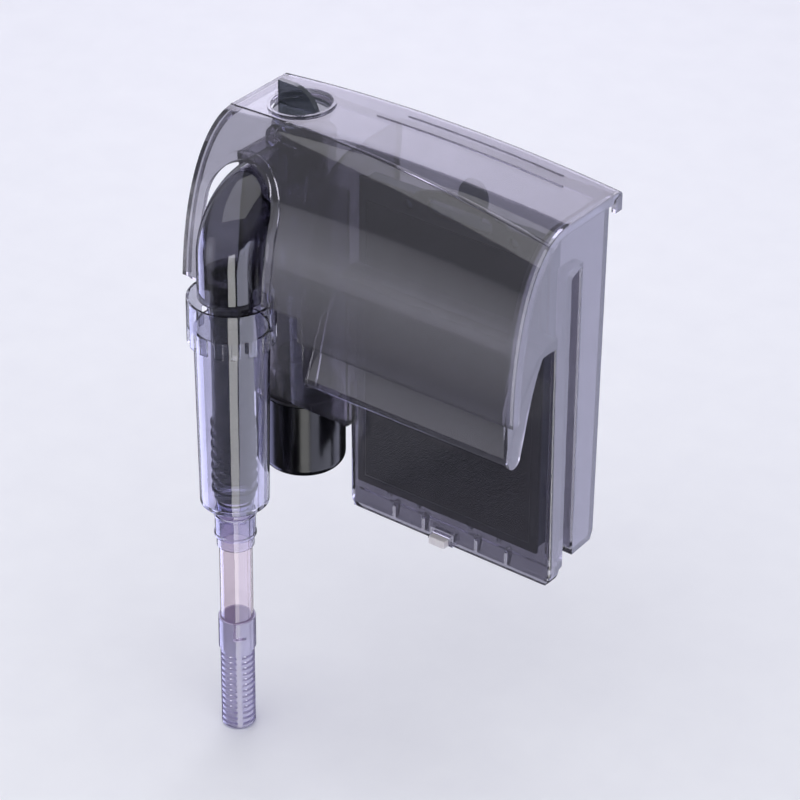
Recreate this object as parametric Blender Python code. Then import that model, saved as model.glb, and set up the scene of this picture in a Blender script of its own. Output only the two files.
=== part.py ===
"""Hang on back aquarium filter with a surface skimmer.

Metres, +Z up, +X to the right seen from the tank, +Y away from the tank. The origin is on the flat
underside of the spill ramp, where the filter rests on the tank's glass. Every piece is one object.
"""

import math

import bmesh
import bpy
from mathutils import Matrix, Vector

GAP = 0.0003          # left between pieces that touch
WALL = 0.0025         # filter body
SIDES = 24            # facets of a large round piece

# Media box and spill ramp
BOX_LEFT, BOX_RIGHT = -0.031, 0.104
BOX_FRONT = 0.006
BOX_FLOOR = -0.151
BODY_TOP = 0.072
RAMP_TIP = -0.035
REST_EDGE = -0.006    # the flat under the ramp runs from here back to the box

# Pump chamber
CHAMBER_LEFT, CHAMBER_FRONT, CHAMBER_FLOOR = -0.104, 0.002, -0.097
CHAMBER_RIM = 0.049
CHAMBER_BACK = 0.0465

# Dust cover
COVER_HALF = 0.110
COVER_TOP = 0.0755
COVER_CROWN = 0.0055
COVER_BACK = 0.053
COVER_SKIN = 0.0022
COVER_RIM = 0.006
COVER_RIM_WIDTH = 0.0025
COVER_FRONT_EDGE = -0.0245
COVER_LEFT_EDGE = -0.010
COVER_BACK_EDGE = 0.064
COVER_ARC_CENTRE = 0.006
COVER_ARC_DEPTH = 0.046
COVER_ARC_POWER = 2.2

# Upright axes: the pump and its down-leg, and the skimmer
PUMP = Vector((-0.077, 0.023, 0))
SKIMMER = Vector((-0.077, -0.0387, 0))

# U-pipe
PIPE_R, PIPE_BORE = 0.0185, 0.0165
LEG_R, LEG_BORE = 0.0165, 0.0145
ELBOW_R = 0.028
BRIDGE_Z = 0.040
PIPE_MOUTH = -0.0115
LEG_TOP, LEG_BOTTOM = 0.060, -0.078

# Flow control
KNOB_R, KNOB_HOLE = 0.0158, 0.017
KNOB_BOTTOM, KNOB_TOP, FIN_TOP = 0.0703, 0.075, 0.0885
STEM_R = 0.0114

# Pump
CAN_R, CAN_WALL, CAN_TOP, CAN_BOTTOM = 0.0235, 0.002, -0.0992, -0.146
FLOOR_HOLE = 0.020
GLAND_Z = -0.128
PLATE_TOP, PLATE_BOTTOM = -0.0998, -0.1025
WELL_R, WELL_BORE, WELL_BOTTOM = 0.0087, 0.0072, -0.132
SHAFT_R = 0.0015

# Skimmer, extension tube and strainer
CROWN_R, CROWN_WALL, CROWN_TOP, CROWN_BOTTOM = 0.0244, 0.0016, -0.0117, -0.0386
TUBE_TOP_R, TUBE_FOOT_R, TUBE_WALL = 0.0209, 0.0192, 0.0015
TUBE_TOP, TUBE_FOOT = -0.030, -0.1426
NECK_R, NECK_BORE, NECK_END = 0.0106, 0.0096, -0.171
RISER_R, RISER_BORE = 0.0116, 0.0100
EXTENSION_R, EXTENSION_BORE = 0.0093, 0.0081
COLLAR_TOP, COLLAR_END, STRAINER_END = -0.2196, -0.2398, -0.2928


# ---------------------------------------------------------------- helpers

def material(name, colour, roughness, metallic=0.0):
    made = bpy.data.materials.new(name)
    made.use_nodes = True
    shader = made.node_tree.nodes["Principled BSDF"]
    shader.inputs["Base Color"].default_value = (*colour, 1.0)
    shader.inputs["Roughness"].default_value = roughness
    shader.inputs["Metallic"].default_value = metallic
    made.diffuse_color = (*colour, 1.0)
    return made


def add_object(name, shape, finish=None, origin=Vector((0, 0, 0))):
    """An object from a bmesh made in world coordinates, with its origin at the given point."""
    bmesh.ops.recalc_face_normals(shape, faces=shape.faces)
    bmesh.ops.translate(shape, verts=shape.verts, vec=-origin)
    mesh = bpy.data.meshes.new(name)
    shape.to_mesh(mesh)
    shape.free()
    made = bpy.data.objects.new(name, mesh)
    made.location = origin
    bpy.context.scene.collection.objects.link(made)
    if finish:
        mesh.materials.append(finish)
    mesh.shade_smooth()
    mesh.set_sharp_from_angle(angle=math.radians(35))
    return made


def cutter(name, shape):
    made = add_object(name, shape)
    made.hide_render = True
    made.display_type = "WIRE"
    return made


def boolean(target, tool, operation="DIFFERENCE"):
    step = target.modifiers.new(tool.name, "BOOLEAN")
    step.operation = operation
    step.solver = "EXACT"
    step.object = tool


def block(low, high):
    shape = bmesh.new()
    low, high = Vector(low), Vector(high)
    size = Matrix.Diagonal((*(high - low), 1))
    bmesh.ops.create_cube(shape, size=1, matrix=Matrix.Translation((low + high) / 2) @ size)
    return shape


def prism(outline, start, end, axis):
    """An outline of (a, b) points extruded along X, Y or Z; a and b are the other two axes in order."""
    slot = "XYZ".index(axis)

    def place(a, b, along):
        point = [a, b]
        point.insert(slot, along)
        return point

    shape = bmesh.new()
    face = shape.faces.new([shape.verts.new(place(a, b, start)) for a, b in outline])
    grown = bmesh.ops.extrude_face_region(shape, geom=[face])
    moved = [part for part in grown["geom"] if isinstance(part, bmesh.types.BMVert)]
    bmesh.ops.translate(shape, verts=moved, vec=Vector(place(0, 0, end - start)))
    return shape


def turned(profile, centre, sides=SIDES):
    """A closed ring: the (radius, height) loop swept once round the upright axis through centre."""
    shape = bmesh.new()
    rings = []
    for turn in range(sides):
        angle = math.tau * turn / sides
        spoke = Vector((math.cos(angle), math.sin(angle), 0))
        rings.append([shape.verts.new(centre + spoke * r + Vector((0, 0, z))) for r, z in profile])
    for turn in range(sides):
        here, there = rings[turn], rings[(turn + 1) % sides]
        for i in range(len(profile)):
            j = (i + 1) % len(profile)
            shape.faces.new([here[i], here[j], there[j], there[i]])
    bmesh.ops.remove_doubles(shape, verts=shape.verts, dist=1e-7)
    return shape


def tube(outer, inner, low, high, centre, sides=SIDES):
    return turned([(outer, low), (outer, high), (inner, high), (inner, low)], centre, sides)


def drum(radius, low, high, centre, sides=SIDES):
    """A solid upright cylinder."""
    return turned([(0, low), (radius, low), (radius, high), (0, high)], centre, sides)


def join(*shapes):
    """Several shapes in one bmesh; they must not touch."""
    whole = bmesh.new()
    for shape in shapes:
        piece = bpy.data.meshes.new("piece")
        shape.to_mesh(piece)
        shape.free()
        whole.from_mesh(piece)
        bpy.data.meshes.remove(piece)
    return whole


def arc(centre, radius, start, end, steps):
    """Points of a circular arc, angles in degrees."""
    points = []
    for step in range(steps + 1):
        angle = math.radians(start + (end - start) * step / steps)
        points.append((centre[0] + radius * math.cos(angle), centre[1] + radius * math.sin(angle)))
    return points


def swept(path, radius, sides=SIDES):
    """A solid round bar along points that lie in one plane of constant X."""
    shape = bmesh.new()
    across = Vector((1, 0, 0))
    rings = []
    for i, point in enumerate(path):
        ahead = path[min(i + 1, len(path) - 1)] - path[max(i - 1, 0)]
        up = across.cross(ahead.normalized())
        ring = []
        for turn in range(sides):
            angle = math.tau * turn / sides
            ring.append(shape.verts.new(point + radius * (across * math.cos(angle) + up * math.sin(angle))))
        rings.append(ring)
    for here, there in zip(rings, rings[1:]):
        for turn in range(sides):
            after = (turn + 1) % sides
            shape.faces.new([here[turn], here[after], there[after], there[turn]])
    shape.faces.new(rings[0])
    shape.faces.new(rings[-1])
    return shape


def box_back(z):
    """The body's back face leans out towards the top."""
    return 0.0489 + 0.0180 * z


def cover_front(z, inset=0.0):
    """Y of the cover's arched front at height z, or of a surface inset under it."""
    rise = (z - COVER_FRONT_EDGE) / (COVER_TOP - inset - COVER_FRONT_EDGE)
    depth = (1 - min(max(rise, 0), 1) ** COVER_ARC_POWER) ** (1 / COVER_ARC_POWER)
    return COVER_ARC_CENTRE - (COVER_ARC_DEPTH - inset) * depth


# ---------------------------------------------------------------- filter body

def side_outline():
    """End view of the media box with the ramp's side plate, as (y, z) points."""
    bottom = [
        (BOX_FRONT, -0.149), (0.008, BOX_FLOOR), (0.013, BOX_FLOOR), (0.015, -0.143),
        (0.025, -0.1395), (0.044, -0.1385), (box_back(-0.133), -0.133),
    ]
    top = [(box_back(BODY_TOP), BODY_TOP)]
    inset = COVER_SKIN + 0.0012
    heights = [BODY_TOP - 0.0002, 0.068, 0.062, 0.054, 0.044, 0.031, 0.016, 0.0, -0.02]
    front = [(cover_front(z, inset), z) for z in heights]
    tip = [(RAMP_TIP - 0.0005, -0.046)]
    tip += arc((-0.0295, -0.0505), 0.0055, 190, 330, 4)
    arch = [
        (-0.0215, -0.042), (-0.018, -0.029), (-0.014, -0.0165), (-0.0095, -0.006),
        (REST_EDGE, 0), (BOX_FRONT, 0),
    ]
    return bottom + top + front + tip + arch


def ramp_top():
    """Upper side of the ramp's sheet, from the weir down to the lip."""
    return [
        (BOX_FRONT + WALL, 0.005), (-0.002, 0.004), (-0.010, 0.0), (-0.018, -0.010),
        (-0.026, -0.024), (-0.032, -0.038), (RAMP_TIP, -0.047),
    ]


def ramp_under():
    return [
        (REST_EDGE, 0.0), (-0.0088, -0.0028), (-0.016, -0.0118), (-0.0238, -0.0253),
        (-0.0297, -0.039), (-0.0326, -0.0475),
    ]


def make_filter_body(plastic):
    body = add_object("filter_body", prism(side_outline(), BOX_LEFT, BOX_RIGHT, "X"), plastic)

    chamber_top = BODY_TOP - 0.001
    chamber = [
        (CHAMBER_FRONT, CHAMBER_FLOOR), (CHAMBER_BACK, CHAMBER_FLOOR),
        (box_back(BODY_TOP) - 0.0005, chamber_top), (0.034, chamber_top),
        (0.030, CHAMBER_RIM), (CHAMBER_FRONT, CHAMBER_RIM),
    ]
    outside = prism(chamber, CHAMBER_LEFT, BOX_LEFT + 0.001, "X")
    boolean(body, cutter("chamber_outside", outside), "UNION")

    # Hollow of the media box, open at the top and over the weir to the front
    above = 0.1
    media = [
        (BOX_FRONT + WALL, -0.1475), (0.0115, -0.1475), (0.0132, -0.1405), (0.025, -0.137),
        (0.043, -0.136), (box_back(-0.131) - WALL, -0.131), (box_back(above) - WALL, above),
        (-0.060, above), (-0.060, -0.060), (-0.040, -0.060),
    ]
    media += reversed(ramp_top())
    boolean(body, cutter("media_hollow", prism(media, BOX_LEFT + WALL, BOX_RIGHT - WALL, "X")))

    # Space under the ramp between its side plates
    under = ramp_under() + [(-0.038, -0.062), (0.0, -0.062), (0.0, -0.010)]
    boolean(body, cutter("ramp_hollow", prism(under, BOX_LEFT + WALL, BOX_RIGHT - WALL, "X")))

    # Hollow of the pump chamber
    low = (CHAMBER_LEFT + WALL, CHAMBER_FRONT + WALL, CHAMBER_FLOOR + WALL)
    high = (BOX_LEFT - 0.0002, CHAMBER_BACK - WALL, above)
    boolean(body, cutter("chamber_hollow", block(low, high)))
    boolean(body, cutter("pump_hole", drum(FLOOR_HOLE, -0.11, -0.08, PUMP)))

    # Saddle for the bridge of the U-pipe in the chamber's front wall
    saddle_r = PIPE_R + 0.001
    saddle = arc((PUMP.x, BRIDGE_Z), saddle_r, 180, 360, 10)
    saddle += [(PUMP.x + saddle_r, above), (PUMP.x - saddle_r, above)]
    boolean(body, cutter("pipe_saddle", prism(saddle, -0.005, 0.0062, "Y")))

    # Passage from the chamber to the back of the media box
    boolean(body, cutter("passage", block((-0.040, 0.030, -0.080), (-0.022, 0.044, -0.035))))

    # Groove down the right wall, whose ridge inside guides the cartridges
    groove_front, groove_back, below = 0.018, 0.027, -0.160
    ridge = block((0.0950, groove_front - WALL, -0.1380), (0.1030, groove_back + WALL, 0.0410))
    boolean(body, cutter("groove_ridge", ridge), "UNION")
    lean = [(groove_front, 0.036), (groove_back, 0.0395), (groove_back, below), (groove_front, below)]
    boolean(body, cutter("groove", prism(lean, 0.0975, 0.120, "X")))

    # Pocket for the level adjuster
    pocket = block((0.0229, BOX_FRONT + 0.0002, -0.1506), (0.0394, 0.0150, -0.1433))
    boolean(body, cutter("pocket_walls", pocket), "UNION")
    boolean(body, cutter("pocket", block((0.0254, 0.0, below), (0.0369, 0.0125, -0.1458))))

    # Floor ribs that hold the cartridges off the floor
    for index, x in enumerate((-0.009, 0.0105, 0.0455, 0.065)):
        rib = block((x - 0.0011, 0.0145, -0.1400), (x + 0.0011, 0.0300, -0.1345))
        boolean(body, cutter(f"floor_rib_{index}", rib), "UNION")
    return body


# ---------------------------------------------------------------- dust cover

def cover_profile(crown):
    """Outer (y, z) points from the front edge over the top to the back edge."""
    points = []
    steps = 12
    for step in range(steps + 1):
        share = math.sin(math.pi / 2 * step / steps)
        z = COVER_FRONT_EDGE + (COVER_TOP - COVER_FRONT_EDGE) * share
        points.append((cover_front(z), z + crown * share ** 4))
    corner = 0.003
    points.append((COVER_BACK - corner, COVER_TOP + crown))
    points.append((COVER_BACK - corner * 0.3, COVER_TOP + crown - corner * 0.3))
    points.append((COVER_BACK, COVER_TOP + crown - corner))
    points.append((COVER_BACK, COVER_BACK_EDGE))
    return points


def inset_profile(points, depth):
    """The same points moved inwards, square to the curve; the two edges stay level."""
    moved = []
    for i, (y, z) in enumerate(points):
        before = points[max(i - 1, 0)]
        after = points[min(i + 1, len(points) - 1)]
        along = Vector((after[0] - before[0], after[1] - before[1])).normalized()
        moved.append((y + along.y * depth, z - along.x * depth))
    moved[0] = (points[0][0] + depth, points[0][1])
    moved[-1] = (points[-1][0] - depth, points[-1][1])
    return moved


def make_dust_cover(plastic):
    thin = COVER_HALF - COVER_RIM_WIDTH - 0.0005
    inner_xs = [thin * (step / 4 - 1) for step in range(9)]
    columns = [(-COVER_HALF, COVER_RIM), (-COVER_HALF + COVER_RIM_WIDTH, COVER_RIM)]
    columns += [(x, COVER_SKIN) for x in inner_xs]
    columns += [(COVER_HALF - COVER_RIM_WIDTH, COVER_RIM), (COVER_HALF, COVER_RIM)]

    shape = bmesh.new()
    outside, inside = [], []
    for x, depth in columns:
        crown = COVER_CROWN * (1 - (x / COVER_HALF) ** 2)
        profile = cover_profile(crown)
        outside.append([shape.verts.new((x, y, z)) for y, z in profile])
        inside.append([shape.verts.new((x, y, z)) for y, z in inset_profile(profile, depth)])
    rows = len(outside[0])
    for skin in (outside, inside):
        for here, there in zip(skin, skin[1:]):
            for i in range(rows - 1):
                shape.faces.new([here[i], here[i + 1], there[i + 1], there[i]])
    for i in (0, rows - 1):
        for k in range(len(columns) - 1):
            shape.faces.new([outside[k][i], outside[k + 1][i], inside[k + 1][i], inside[k][i]])
    for k in (0, len(columns) - 1):
        for i in range(rows - 1):
            shape.faces.new([outside[k][i], outside[k][i + 1], inside[k][i + 1], inside[k][i]])
    cover = add_object("dust_cover", shape, plastic)

    boolean(cover, cutter("left_edge", block((-0.12, -0.06, -0.06), (BOX_LEFT, 0.03, COVER_LEFT_EDGE))))
    arch_r, arch_z = 0.0222, 0.0388
    arch = arc((SKIMMER.x, arch_z), arch_r, 0, 180, 16)
    arch += [(SKIMMER.x - arch_r, -0.06), (SKIMMER.x + arch_r, -0.06)]
    boolean(cover, cutter("pipe_arch", prism(arch, -0.060, -0.004, "Y")))
    boolean(cover, cutter("knob_hole", drum(KNOB_HOLE, 0.06, 0.10, PUMP)))
    return cover


# ---------------------------------------------------------------- U-pipe and flow control

def pipe_path(end_y, start_z):
    """Centre line: up the skimmer leg, round the elbow and along the bridge."""
    elbow = Vector((SKIMMER.x, SKIMMER.y + ELBOW_R, BRIDGE_Z - ELBOW_R))
    path = [Vector((SKIMMER.x, SKIMMER.y, start_z))]
    steps = 8
    for step in range(steps + 1):
        angle = math.pi - math.pi / 2 * step / steps
        path.append(elbow + ELBOW_R * Vector((0, math.cos(angle), math.sin(angle))))
    path.append(Vector((SKIMMER.x, end_y, BRIDGE_Z)))
    return path


def make_u_pipe(plastic):
    pipe = add_object("inlet_u_pipe", swept(pipe_path(PUMP.y, PIPE_MOUTH), PIPE_R), plastic)
    head_r, head_foot = PIPE_R + 0.0007, BRIDGE_Z - PIPE_R
    leg = [
        (0, LEG_BOTTOM), (LEG_R, LEG_BOTTOM), (LEG_R, head_foot), (head_r, head_foot + 0.002),
        (head_r, LEG_TOP), (0, LEG_TOP),
    ]
    boolean(pipe, cutter("leg_outside", turned(leg, PUMP)), "UNION")
    boolean(pipe, cutter("pipe_bore", swept(pipe_path(PUMP.y, PIPE_MOUTH - 0.005), PIPE_BORE)))
    boolean(pipe, cutter("leg_bore", drum(LEG_BORE, -0.09, 0.09, PUMP)))


def make_flow_gate(plastic):
    """Column with a disc that closes the down-leg's top and a half-round gate that turns over the port."""
    gate_r = LEG_BORE - 0.0004
    stem = drum(STEM_R, 0.050, KNOB_BOTTOM - GAP, PUMP)
    gate = add_object("flow_gate", stem, plastic, origin=PUMP)
    boolean(gate, cutter("gate_disc", drum(gate_r, 0.0560, 0.0595, PUMP)), "UNION")
    back = arc((PUMP.x, PUMP.y), gate_r, 15, 165, 12)
    back += arc((PUMP.x, PUMP.y), gate_r - 0.0020, 165, 15, 12)
    boolean(gate, cutter("gate_shell", prism(back, 0.022, 0.0575, "Z")), "UNION")


def make_flow_knob(plastic):
    knob = add_object("flow_knob", drum(KNOB_R, KNOB_BOTTOM, KNOB_TOP, PUMP), plastic, origin=PUMP)
    left, corner_r, foot, half = PUMP.x - 0.0150, 0.017, KNOB_TOP - 0.001, 0.0016
    corner_x = left + 0.0095
    fin = [(left, foot), (left, FIN_TOP)]
    fin += arc((corner_x, FIN_TOP - corner_r), corner_r, 90, 12, 8)
    fin.append((corner_x + corner_r, foot))
    boolean(knob, cutter("fin", prism(fin, PUMP.y - half, PUMP.y + half, "Y")), "UNION")


# ---------------------------------------------------------------- media

GRID_LEFT, GRID_RIGHT, GRID_FLOOR, GRID_TOP = -0.0268, 0.0938, -0.133, 0.057
GRID_EDGE, MAT_TOP = 0.005, 0.044
HANDLE_X, HANDLE_Z = 0.039, 0.0545


def window(obj, name, low_x, high_x, low_z, high_z, low_y=0.0, high_y=0.030):
    boolean(obj, cutter(name, block((low_x, low_y, low_z), (high_x, high_y, high_z))))


def make_biogrid(plastic, mesh_finish):
    """Panel with an arched handle on top; the woven mat fills its window."""
    front, back, through = 0.0088, 0.0112, 0.020
    outline = [(GRID_LEFT, GRID_FLOOR), (GRID_RIGHT, GRID_FLOOR), (GRID_RIGHT, GRID_TOP)]
    steps = 12
    for step in range(steps + 1):
        angle = math.pi * step / steps
        outline.append((HANDLE_X + 0.030 * math.cos(angle), GRID_TOP + 0.008 * math.sin(angle)))
    outline.append((GRID_LEFT, GRID_TOP))
    frame = add_object("biogrid_frame", prism(outline, front, back, "Y"), plastic)

    left, right, low = GRID_LEFT + GRID_EDGE, GRID_RIGHT - GRID_EDGE, GRID_FLOOR + GRID_EDGE
    window(frame, "mat_window", left, right, low, MAT_TOP, 0.0, through)
    finger = arc((HANDLE_X + 0.0165, HANDLE_Z), 0.0045, 90, -90, 6)
    finger += arc((HANDLE_X - 0.0165, HANDLE_Z), 0.0045, 270, 90, 6)
    boolean(frame, cutter("finger_hole", prism(finger, 0.0, through, "Y")))
    for index, x in enumerate((0.0057, 0.0737)):
        dot = arc((x, 0.0505), 0.0028, 0, 330, 11)
        boolean(frame, cutter(f"dot_{index}", prism(dot, 0.0, through, "Y")))

    mat_low = (left + GAP, front + 0.0002, low + GAP)
    add_object("biogrid_mesh", block(mat_low, (right - GAP, back - 0.0002, MAT_TOP - GAP)), mesh_finish)


def make_cartridge(plastic, carbon, floss):
    """Shallow tray with a keyhole tab; the carbon bed lies in it and the floss pad backs it."""
    front, back, sheet, edge = 0.0116, 0.0216, 0.0016, 0.004
    left, right, floor, top = -0.0255, 0.0925, -0.131, 0.0545
    frame = add_object("cartridge_frame", block((left, front, floor), (right, back, top)), plastic)
    left, right, low, high = left + edge, right - edge, floor + edge, top - edge
    window(frame, "tray", left, right, low, high, front + sheet, 0.040)
    tab_x, tab_z, tab_r, stem = 0.0452, 0.0668, 0.0095, 0.0055
    tab = [(tab_x + stem, top - 0.002)] + arc((tab_x, tab_z), tab_r, -55, 235, 18)
    tab.append((tab_x - stem, top - 0.002))
    boolean(frame, cutter("tab", prism(tab, front + 0.0001, front + 0.0015, "Y")), "UNION")

    split = 0.0188
    bed_high = (right - GAP, split, high - GAP)
    add_object("carbon_bed", block((left + GAP, front + sheet + GAP, low + GAP), bed_high), carbon)
    pad_high = (right - GAP, back, high - GAP)
    add_object("floss_pad", block((left + GAP, split + GAP, low + GAP), pad_high), floss)


def make_level_adjuster(rubber):
    low = Vector((0.0258, 0.0025, -0.1512))
    high = Vector((0.0365, 0.0121, -0.1462))
    add_object("level_adjuster", block(low, high), rubber, origin=(low + high) / 2)


# ---------------------------------------------------------------- pump

def lie_back(shape, y):
    """Turns an upright shape at the origin to point away from the tank at the gland's height."""
    turn = Matrix.Rotation(math.radians(-90), 4, "X")
    bmesh.ops.transform(shape, matrix=Matrix.Translation((PUMP.x, y, GLAND_Z)) @ turn, verts=shape.verts)


def make_pump_housing(plastic):
    inner, floor, soft = CAN_R - CAN_WALL, CAN_BOTTOM + CAN_WALL, 0.006
    profile = [(0, CAN_BOTTOM)] + arc((CAN_R - soft, CAN_BOTTOM + soft), soft, -90, 0, 5)
    profile += [(CAN_R, CAN_TOP), (inner, CAN_TOP), (inner, CAN_BOTTOM + soft)]
    profile += [(inner - soft + CAN_WALL, floor), (0, floor)]
    can = add_object("pump_housing", turned(profile, PUMP, 32), plastic)
    hole = drum(0.0045, 0, 0.030, Vector((0, 0, 0)), 16)
    lie_back(hole, PUMP.y + 0.010)
    boolean(can, cutter("gland_hole", hole))


def make_cord_gland(rubber):
    """Stem through the can's wall, flange outside it and a tapered nose with the cord's blind hole."""
    profile = [
        (0, 0), (0.0041, 0), (0.0041, 0.0022), (0.0062, 0.0022), (0.0062, 0.0040), (0.0046, 0.0044),
        (0.0036, 0.0105), (0.0024, 0.0105), (0.0024, 0.0030), (0, 0.0030),
    ]
    gland = turned(profile, Vector((0, 0, 0)), 16)
    lie_back(gland, 0.0446)
    add_object("cord_gland", gland, rubber)


def make_well_plate(plastic):
    """Lid of the can: spigot ring through the chamber floor and the blind well that the rotor runs in."""
    plate_r, well_floor = CAN_R - CAN_WALL - GAP, WELL_BOTTOM + 0.0015
    spigot_out, spigot_in, spigot_top = 0.0196, 0.0179, -0.0930
    profile = [
        (plate_r, PLATE_BOTTOM), (plate_r, PLATE_TOP), (spigot_out, PLATE_TOP),
        (spigot_out, spigot_top), (spigot_in, spigot_top), (spigot_in, PLATE_TOP),
        (WELL_BORE, PLATE_TOP), (WELL_BORE, well_floor), (0, well_floor), (0, WELL_BOTTOM),
        (WELL_R, WELL_BOTTOM), (WELL_R, PLATE_BOTTOM),
    ]
    add_object("well_plate", turned(profile, PUMP), plastic)


def make_impeller_cover(plastic):
    """Cup over the impeller with an inlet nozzle; a two-armed spider in the nozzle holds the upper bush."""
    cup_r, cup_bore, nozzle_r, nozzle_bore = 0.0175, 0.0157, 0.0121, 0.0105
    low, shelf, top = -0.0995, -0.0860, -0.0740
    profile = [
        (cup_r, low), (cup_r, shelf), (nozzle_r, shelf), (nozzle_r, top), (nozzle_bore, top),
        (nozzle_bore, shelf - 0.002), (cup_bore, shelf - 0.002), (cup_bore, low),
    ]
    cup = add_object("impeller_cover", turned(profile, PUMP), plastic)
    reach, half = Vector((0.0113, 0, 0)), Vector((0, 0.0009, 0))
    under, over = Vector((0, 0, -0.0835)), Vector((0, 0, -0.0805))
    arms = block(PUMP - reach - half + under, PUMP + reach + half + over)
    boolean(cup, cutter("spider_arms", arms), "UNION")
    boolean(cup, cutter("spider_hub", drum(0.0046, -0.0842, -0.0798, PUMP, 20)), "UNION")
    boolean(cup, cutter("bush_seat", drum(0.0032, -0.0900, -0.0750, PUMP, 20)))
    outlet = block((PUMP.x + 0.006, PUMP.y + 0.002, -0.0982), (PUMP.x + 0.020, PUMP.y + 0.011, -0.0896))
    boolean(cup, cutter("outlet", outlet))


def make_impeller(plastic):
    hub_r, bore, low, high = 0.0052, 0.0019, -0.0990, -0.0895
    impeller = add_object("impeller", tube(hub_r, bore, low, high, PUMP, 24), plastic, origin=PUMP)
    blades = 6
    for index in range(blades):
        blade = block((0.0040, -0.0007, low + 0.0004), (0.0146, 0.0007, high - 0.0006))
        turn = Matrix.Translation(PUMP) @ Matrix.Rotation(math.tau * index / blades, 4, "Z")
        bmesh.ops.transform(blade, matrix=turn, verts=blade.verts)
        boolean(impeller, cutter(f"blade_{index}", blade), "UNION")


def make_rotor_and_bearings(magnet, ceramic, rubber):
    add_object("rotor_magnet", tube(0.0064, 0.0019, -0.1255, -0.0993, PUMP, 24), magnet, origin=PUMP)
    add_object("impeller_shaft", drum(SHAFT_R, -0.1300, -0.0795, PUMP, 12), ceramic)
    add_object("lower_bush", tube(0.0069, 0.0018, -0.1302, -0.1262, PUMP, 20), rubber)
    add_object("upper_bush", tube(0.0029, 0.0018, -0.0840, -0.0800, PUMP, 20), rubber)


def make_stator(iron, copper):
    """Laminated U: two legs stand either side of the rotor's well, and each carries a coil low down."""
    foot, seat, head = -0.1432, -0.1392, -0.1045
    near, far, half = 0.0092, 0.0152, 0.0070
    outline = [
        (-far, foot), (far, foot), (far, head), (near, head), (near, seat), (-near, seat),
        (-near, head), (-far, head),
    ]
    outline = [(PUMP.x + x, z) for x, z in outline]
    add_object("stator_core", prism(outline, PUMP.y - half, PUMP.y + half, "Y"), iron)
    for side, name in ((-1, "coil_left"), (1, "coil_right")):
        xs = sorted((PUMP.x + side * 0.0055, PUMP.x + side * 0.0185))
        winding = block((xs[0], PUMP.y - 0.0096, seat + GAP), (xs[1], PUMP.y + 0.0096, -0.1328))
        coil = add_object(name, winding, copper)
        legs = sorted((PUMP.x + side * (near - GAP), PUMP.x + side * (far + GAP)))
        hole = block((legs[0], PUMP.y - half - GAP, -0.150), (legs[1], PUMP.y + half + GAP, -0.120))
        boolean(coil, cutter(name + "_hole", hole))


def make_seals(rubber):
    add_object("pump_seal", tube(0.0232, 0.0200, -0.0989, CHAMBER_FLOOR - GAP, PUMP), rubber)
    collar = tube(LEG_BORE - GAP, 0.0124, LEG_BOTTOM + 0.0002, LEG_BOTTOM + 0.0030, PUMP)
    add_object("nozzle_seal", collar, rubber)


# ---------------------------------------------------------------- skimmer, extension tube and strainer

def make_riser_pipe(plastic):
    """Inner pipe: a flange in the U-pipe's mouth, a plain run and a ringed lower half."""
    top, foot, flange_r, ring_r = 0.002, TUBE_FOOT + 0.0045, PIPE_BORE - GAP, RISER_R + 0.0012
    profile = [(RISER_R, foot)]
    rings, pitch = 7, 0.0070
    for ring in range(rings):
        low = foot + 0.004 + ring * pitch
        profile += [(RISER_R, low), (ring_r, low + 0.0006), (ring_r, low + 0.0020), (RISER_R, low + 0.0026)]
    profile += [(RISER_R, top - 0.005), (flange_r, top - 0.004), (flange_r, top)]
    profile += [(RISER_BORE, top), (RISER_BORE, foot)]
    add_object("riser_pipe", turned(profile, SKIMMER, 16), plastic)


def make_skimmer_tube(plastic):
    profile = [
        (TUBE_FOOT_R, TUBE_FOOT + 0.001), (TUBE_TOP_R, TUBE_TOP), (TUBE_TOP_R - TUBE_WALL, TUBE_TOP),
        (TUBE_FOOT_R - TUBE_WALL, TUBE_FOOT + 0.003), (NECK_BORE, TUBE_FOOT + 0.0025), (NECK_BORE, NECK_END),
        (NECK_R, NECK_END), (NECK_R, TUBE_FOOT), (TUBE_FOOT_R - 0.001, TUBE_FOOT),
    ]
    add_object("skimmer_tube", turned(profile, SKIMMER), plastic)


def make_neck_ring(plastic):
    low, high = -0.1640, -0.1500
    inner, outer, bead = NECK_R + GAP, NECK_R + 0.0008, NECK_R + 0.0013
    profile = [
        (inner, low), (bead, low), (bead, low + 0.0015), (outer, low + 0.002),
        (outer, high - 0.002), (bead, high - 0.0015), (bead, high), (inner, high),
    ]
    add_object("neck_ring", turned(profile, SKIMMER), plastic)


def make_crown(plastic):
    """Floating ring whose slotted skirt lets the surface film in."""
    inner = CROWN_R - CROWN_WALL
    profile = [(CROWN_R, CROWN_BOTTOM), (CROWN_R, CROWN_TOP), (inner, CROWN_TOP), (inner, CROWN_BOTTOM)]
    crown = add_object("skimmer_crown", turned(profile, SKIMMER, 32), plastic, origin=SKIMMER)
    pairs, half, past = 8, 0.0022, 0.030
    for index in range(pairs):
        slot = block((-past, -half, CROWN_BOTTOM - 0.002), (past, half, CROWN_BOTTOM + 0.0105))
        turn = Matrix.Translation(SKIMMER) @ Matrix.Rotation(math.pi * (index + 0.5) / pairs, 4, "Z")
        bmesh.ops.transform(slot, matrix=turn, verts=slot.verts)
        boolean(crown, cutter(f"slot_{index}", slot))


def make_extension_tube(plastic):
    plain = tube(EXTENSION_R, EXTENSION_BORE, -0.232, -0.147, SKIMMER, 24)
    add_object("extension_tube", plain, plastic, origin=SKIMMER)


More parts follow.
